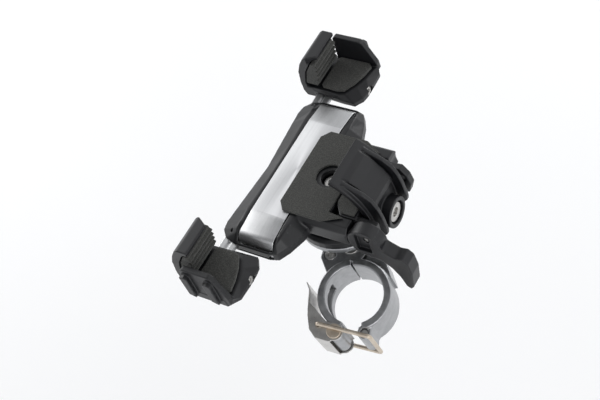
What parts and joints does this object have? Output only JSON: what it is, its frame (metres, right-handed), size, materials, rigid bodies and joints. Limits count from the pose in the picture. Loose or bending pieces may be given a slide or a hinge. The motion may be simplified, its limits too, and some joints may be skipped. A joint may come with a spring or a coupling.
{
  "type": "handlebar phone mount",
  "caption": "Phone cradle with sliding corner claws and a sliding hook jaw on a ball joint, with an over-centre quick-release handlebar clamp.",
  "frame": {"origin": "centre of the handlebar clamp's bore, half-way along its width", "axes": "+Z out of the cradle's face towards the phone, +Y along the long bar, +X from the bar towards the hook; the clamp's bore axis is tilted as posed on the ball joint"},
  "size_m": [0.1086, 0.1764, 0.1005],
  "materials": {
    "black_plastic": "satin moulded",
    "dark_rubber": "grained",
    "brushed_aluminium": "hairline brushed",
    "cast_metal": "satin cast",
    "steel": "bright",
    "bronze_steel": "warm tinted"
  },
  "bodies": {
    "clamp": {"clamp_fixed_half": "cast_metal", "socket_cap": "cast_metal", "hinge_pin": "steel", "pinch_bolt": "steel", "pinch_nut": "steel", "latch_pin": "bronze_steel", "latch_clip": "steel"},
    "swing_half": {"clamp_swing_half": "cast_metal", "strike_screw": "steel"},
    "latch": {"latch_lever": "steel"},
    "bail": {"latch_bail": "bronze_steel"},
    "ball": {"ball_stud": "cast_metal"},
    "cradle": {"body_shell": "black_plastic", "back_cover": "black_plastic", "face_plate": "brushed_aluminium", "front_pad": "dark_rubber", "centre_bolt": "steel", "cover_screw_1": "steel", "cover_screw_2": "steel", "cover_screw_3": "steel", "cover_screw_4": "steel", "swivel_disc": "black_plastic"},
    "left_claw": {"slide_rail_left": "brushed_aluminium", "corner_claw_left": "black_plastic", "claw_liner_left": "dark_rubber", "claw_pad_left": "dark_rubber", "claw_screw_left": "steel"},
    "right_claw": {"slide_rail_right": "brushed_aluminium", "corner_claw_right": "black_plastic", "claw_liner_right": "dark_rubber", "claw_pad_right": "dark_rubber", "claw_screw_right": "steel"},
    "arm": {"arm_base": "black_plastic", "arm_pad": "dark_rubber", "lever_pin": "steel"},
    "hook": {"hook": "black_plastic", "hook_bolt": "steel", "hook_washer": "steel", "hook_nut": "steel"},
    "release": {"release_lever": "black_plastic"}
  },
  "joints": [
    {"name": "clamp_hinge", "type": "hinge", "parent": "clamp", "child": "swing_half", "pos_m": [-0.01292, 0.02377, 0.00817], "axis": [0.121, -0.263, 0.9572], "range_deg": [0, 40]},
    {"name": "latch_lever_pivot", "type": "hinge", "parent": "clamp", "child": "latch", "pos_m": [-0.0018, -0.02185, -0.00578], "axis": [0.121, -0.263, 0.9572], "range_deg": [0, 100]},
    {"name": "bail_pivot", "type": "hinge", "parent": "latch", "child": "bail", "pos_m": [-0.01146, -0.02171, -0.00452], "axis": [0.121, -0.263, 0.9572], "range_deg": [-220, 0]},
    {"name": "ball_tilt", "type": "hinge", "parent": "clamp", "child": "ball", "pos_m": [-0.0223, 0.0353, 0.0097], "axis": [0.9427, 0.3324, -0.0278], "range_deg": [-90, 3]},
    {"name": "ball_spin", "type": "hinge", "parent": "ball", "child": "cradle", "pos_m": [-0.0223, 0.0353, 0.0097], "axis": [0, 0, 1], "range_deg": [-180, 180]},
    {"name": "claw_left_slide", "type": "slide", "parent": "cradle", "child": "left_claw", "axis": [0, -1, 0], "range_m": [-0.001, 0.02]},
    {"name": "claw_right_slide", "type": "slide", "parent": "cradle", "child": "right_claw", "axis": [0, 1, 0], "range_m": [-0.001, 0.02]},
    {"name": "arm_slide", "type": "slide", "parent": "cradle", "child": "arm", "axis": [1, 0, 0], "range_m": [0, 0.022]},
    {"name": "hook_height", "type": "slide", "parent": "arm", "child": "hook", "axis": [0, 0, 1], "range_m": [0, 0.005]},
    {"name": "release_lever_pivot", "type": "hinge", "parent": "arm", "child": "release", "pos_m": [0.0113, 0.0353, 0.0491], "axis": [0, 1, 0], "range_deg": [-14, 0], "stiffness_Nm_per_rad": 0.05}
  ],
  "couplings": [
    {"joint": "bail_pivot", "follows": "latch_lever_pivot", "ratio": -2.2},
    {"joint": "clamp_hinge", "follows": "latch_lever_pivot", "ratio": 0.4}
  ]
}
